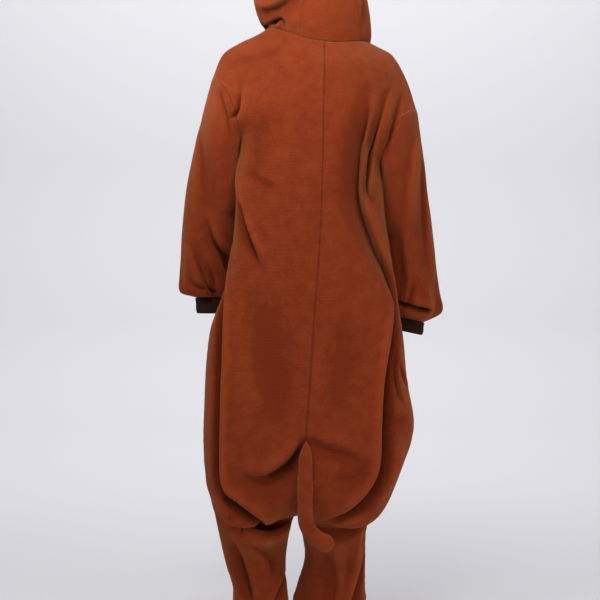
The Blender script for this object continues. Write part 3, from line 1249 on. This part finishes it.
show_ear("ear_left", (137.8, 33.3, 162.2), (0.939, 0.308, 0.154))
show_ear("ear_right", (-127.9, -30.6, 157.6), (-0.996, -0.087, -0.031))

# ---- The placket and its buttons ----
# A folded strip of fleece, stitched down over the centre front seam, and five turned plastic buttons, each
# sewn on through four holes.

PLACKET_HALF, PLACKET_THICK, CLEARANCE = 17.0, 2.0, 0.6
PLACKET_TOP, PLACKET_FOOT = 0.2, -900
across_placket = np.linspace(-1, 1, 25)
left_front, right_front = sheets["front_left"], sheets["front_right"]
placket_rows = np.where((body_at > PLACKET_TOP) & (left_front["points"][:, 0, 2] > PLACKET_FOOT))[0]


def beside_seam(sheet, row, distance):
    """The point of a panel's outer face that lies this far from its first column, along one row."""
    line = sheet["points"][row] + sheet["normals"][row] * np.maximum(sheet["height"][row], 0)[:, None]
    along = np.concatenate([[0], np.cumsum(np.linalg.norm(np.diff(line, axis=0), axis=1))])
    return np.stack([np.interp(distance, along, line[:, k]) for k in range(3)], axis=-1)


strip = []
for row in placket_rows:
    right = beside_seam(right_front, row, -PLACKET_HALF * across_placket[across_placket < 0])
    left = beside_seam(left_front, row, PLACKET_HALF * across_placket[across_placket >= 0])
    strip.append(np.concatenate([right, left]))
strip = np.array(strip)
strip_across, strip_down = np.gradient(strip, axis=1), np.gradient(strip, axis=0)
strip_normals = unit(np.cross(strip_down, strip_across))
strip_normals *= -np.sign(strip_normals[:, :, 1:2].mean())
raised = CLEARANCE + PLACKET_THICK - 0.9 * np.exp(-(((1 - np.abs(across_placket)) / 0.1) ** 2))
stitched = -0.8 * np.exp(-(((np.abs(across_placket) - 0.78) / 0.06) ** 2))
waves = 0.35 * np.sin(strip[..., 2] / 21 + 3 * across_placket[None])
outer = strip + strip_normals * (raised[None] + stitched[None] + waves + 0.5)[..., None]
stitching = np.broadcast_to(-stitched * 0.6, waves.shape)
placket = shell_mesh("placket", outer, strip_normals, PLACKET_THICK - 0.2, 1, False, waves / 3, stitching)
placket.data.materials.append(fleece)
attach(placket, "root")
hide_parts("placket")

button_plastic, shader = principled(
    "button", Roughness=0.38, Base_Color=(0.045, 0.017, 0.009, 1), Specular_IOR_Level=0.45
)
here = button_plastic.node_tree.nodes.new("ShaderNodeTexCoord").outputs["Object"]
swirl = noise(button_plastic, here, 240, 3)
bump = node(button_plastic, "ShaderNodeBump", Strength=0.15, Distance=0.0003, Height=swirl)
plug(button_plastic, shader.inputs["Normal"], bump.outputs[0])
# The radius of each ring from the middle of the front, over the rim, to the back; and the back rings'
# heights.
BUTTON_RINGS = np.array(
    [0, 1, 2, 2.6, 3.3, 4, 4.8, 5.6, 6.2, 6.8, 7.4, 8, 8.5, 8.85, 9, 8.9, 8.4, 7.2, 5, 2.5]
)
BUTTON_BACK = np.array([1.6, 1.1, 0.5, 0.15, 0.1, 0.1])
BUTTON_HEIGHTS = (-125, -290, -450, -610, -770)
HOLE_OFFSET, HOLE_SIZE, HOLE_DEPTH = 1.6, 0.55, 1.4
BUTTON_LIFT = 0.5


def show_button(name, centre, outward):
    """A turned disc with a rounded rim, a dished middle and four sunk thread holes."""
    angle = 2 * np.pi * np.arange(64) / 64
    r = BUTTON_RINGS[:, None]
    x, y = r * np.cos(angle), r * np.sin(angle)
    rim = 3.3 - 1.3 * np.clip((r - 8) / 1, 0, 1) ** 2
    top = rim - 0.9 * (1 - smooth(r, 6, 7.2))
    for hole_x in (-HOLE_OFFSET, HOLE_OFFSET):
        for hole_y in (-HOLE_OFFSET, HOLE_OFFSET):
            top = top - HOLE_DEPTH * np.exp(-(((x - hole_x) ** 2 + (y - hole_y) ** 2) / HOLE_SIZE) ** 2)
    back = np.repeat(BUTTON_BACK[:, None], len(angle), axis=1)
    z = np.concatenate([top[: -len(BUTTON_BACK)], back]) + BUTTON_LIFT
    upward = unit(np.array([0, 0, 1.0]) - outward * outward[2])
    sideways = np.cross(upward, outward)
    ring = centre + x[..., None] * sideways + y[..., None] * upward + z[..., None] * outward
    ends = [centre + z[0, 0] * outward, centre + z[-1, 0] * outward]
    disc = tube_mesh(name + "_disc", ring[1:], ends)
    disc.data.materials.append(button_plastic)
    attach(disc, "root")
    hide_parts(name)


middle = len(across_placket) // 2
for number, height in enumerate(BUTTON_HEIGHTS, start=1):
    row = np.abs(outer[:, middle, 2] - height).argmin()
    show_button(f"button_{number}", outer[row, middle], strip_normals[row, middle])

# ---- Floor, light and camera ----
# A pale sweep of paper that rises far beyond the garment, soft lights above it and on the camera's side of
# it, and one that lights the paper. The camera stands behind the wearer.

FLOOR_GAP = 0.006
floor_profile = np.array([[9.0, 0], [-2.9, 0], [-4.4, 0.14], [-5.4, 0.7], [-5.85, 1.7], [-5.9, 7.6]])
depth, rise = floor_profile.T
ground = (sheets["back_left"]["points"][-1, 0, 2] - LEG_CUFF_LENGTH) / 1000 - FLOOR_GAP
sweep = [(side * 9.0, y, ground + z) for y, z in zip(depth, rise) for side in (-1, 1)]
faces = [(2 * i, 2 * i + 2, 2 * i + 3, 2 * i + 1) for i in range(len(depth) - 1)]
floor_mesh = bpy.data.meshes.new("floor")
floor_mesh.from_pydata(sweep, [], faces)
floor_mesh.shade_smooth()
floor = bpy.data.objects.new("floor", floor_mesh)
bpy.context.scene.collection.objects.link(floor)
paper, _ = principled("paper", Roughness=1.0, Base_Color=(0.79, 0.8, 0.838, 1), Specular_IOR_Level=0.0)
floor.data.materials.append(paper)

world = bpy.data.worlds.new("studio")
bpy.context.scene.world = world
world.use_nodes = True
world.node_tree.nodes["Background"].inputs["Color"].default_value = (0.93, 0.93, 1.0, 1)
world.node_tree.nodes["Background"].inputs["Strength"].default_value = 0.3


def area_light(name, at, target, size, watts):
    """A soft warm rectangle of light that faces its target."""
    light = bpy.data.lights.new(name, "AREA")
    light.shape, light.size, light.size_y = "RECTANGLE", *size
    light.energy, light.color = watts, (1, 0.97, 0.94)
    lamp = bpy.data.objects.new(name, light)
    lamp.location = at
    lamp.rotation_mode = "QUATERNION"
    lamp.rotation_quaternion = (Vector(target) - Vector(at)).to_track_quat("-Z", "Y")
    bpy.context.scene.collection.objects.link(lamp)


area_light("key", (0.2, 1.7, 1.4), (0, 0, -0.5), (0.6, 0.6), 15)
area_light("top", (0.1, 0.5, 1.9), (0, 0, -0.3), (1.2, 0.8), 6)
area_light("front", (0.42, 0.74, 0.32), (0.02, 0, 0.16), (0.3, 0.3), 6.5)
area_light("fill", (-1.8, 2.8, -0.2), (0, 0, -0.6), (1.2, 1.8), 22)
area_light("paper_light", (0, -2.5, 4.2), (0, -5.6, -0.1), (6, 1.4), 215)

camera_data = bpy.data.cameras.new("camera")
camera_data.sensor_width, camera_data.lens = 36, 87.5
camera = bpy.data.objects.new("camera", camera_data)
camera.location = (0.0288, 3.5, -0.612)
camera.rotation_euler = (np.pi / 2, 0, np.pi)
bpy.context.scene.collection.objects.link(camera)
bpy.context.scene.camera = camera
bpy.context.scene.view_settings.view_transform = "Standard"
